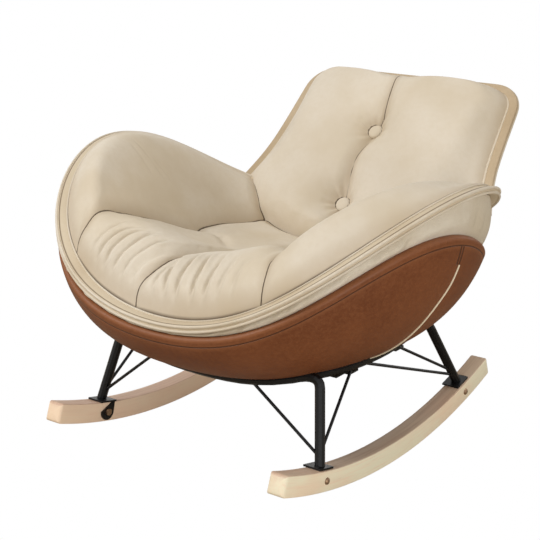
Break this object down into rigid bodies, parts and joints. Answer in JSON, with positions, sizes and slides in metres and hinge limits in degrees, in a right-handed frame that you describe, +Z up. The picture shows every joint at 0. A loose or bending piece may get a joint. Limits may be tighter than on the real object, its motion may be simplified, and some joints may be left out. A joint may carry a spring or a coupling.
{
  "type": "swivel rocker",
  "caption": "Rocking lounge chair with an upholstered bucket seat, a reclined tufted back, bent steel legs and wooden rockers.",
  "frame": {"origin": "on the floor under the middle of the chair's bounding box", "axes": "+Z up, -Y the way the chair faces, +X the sitter's left"},
  "size_m": [1.0026, 1.0624, 0.7743],
  "materials": {
    "cream_leather": "soft matte",
    "brown_leather": "fine grained satin",
    "pale_wood": "clear satin lacquer",
    "black_steel": "satin black",
    "bolt_metal": "dull bronzed"
  },
  "bodies": {
    "root": {"front_bracket_left": "black_steel", "front_rocker_bolt_left": "bolt_metal", "rear_bracket_left": "black_steel", "rear_rocker_bolt_left": "bolt_metal", "rocker_left": "pale_wood", "front_bracket_right": "black_steel", "front_rocker_bolt_right": "bolt_metal", "rear_bracket_right": "black_steel", "rear_rocker_bolt_right": "bolt_metal", "rocker_right": "pale_wood", "front_leg_frame": "black_steel", "rear_leg_frame": "black_steel", "side_rail_left": "black_steel", "side_rail_right": "black_steel", "front_inner_brace_left": "black_steel", "front_side_brace_left": "black_steel", "front_inner_brace_right": "black_steel", "front_side_brace_right": "black_steel", "rear_inner_brace_left": "black_steel", "rear_side_brace_left": "black_steel", "rear_inner_brace_right": "black_steel", "rear_side_brace_right": "black_steel", "cross_bar_front": "black_steel", "seat_bolt_front_left": "bolt_metal", "seat_bolt_front_right": "bolt_metal", "cross_bar_rear": "black_steel", "seat_bolt_rear_left": "bolt_metal", "seat_bolt_rear_right": "bolt_metal", "bowl_cover": "brown_leather", "bucket_shell": "cream_leather", "rim_band": "cream_leather", "cover_piping_left": "cream_leather", "cover_piping_right": "cream_leather", "seat_pad_left": "cream_leather", "wing_pad_left": "cream_leather", "seat_pad_right": "cream_leather", "wing_pad_right": "cream_leather", "rear_pad": "cream_leather", "back_shell": "cream_leather", "back_pad": "cream_leather", "back_rim_band": "cream_leather", "tuft_button_lower": "cream_leather", "tuft_button_upper": "cream_leather"}
  },
  "joints": []
}
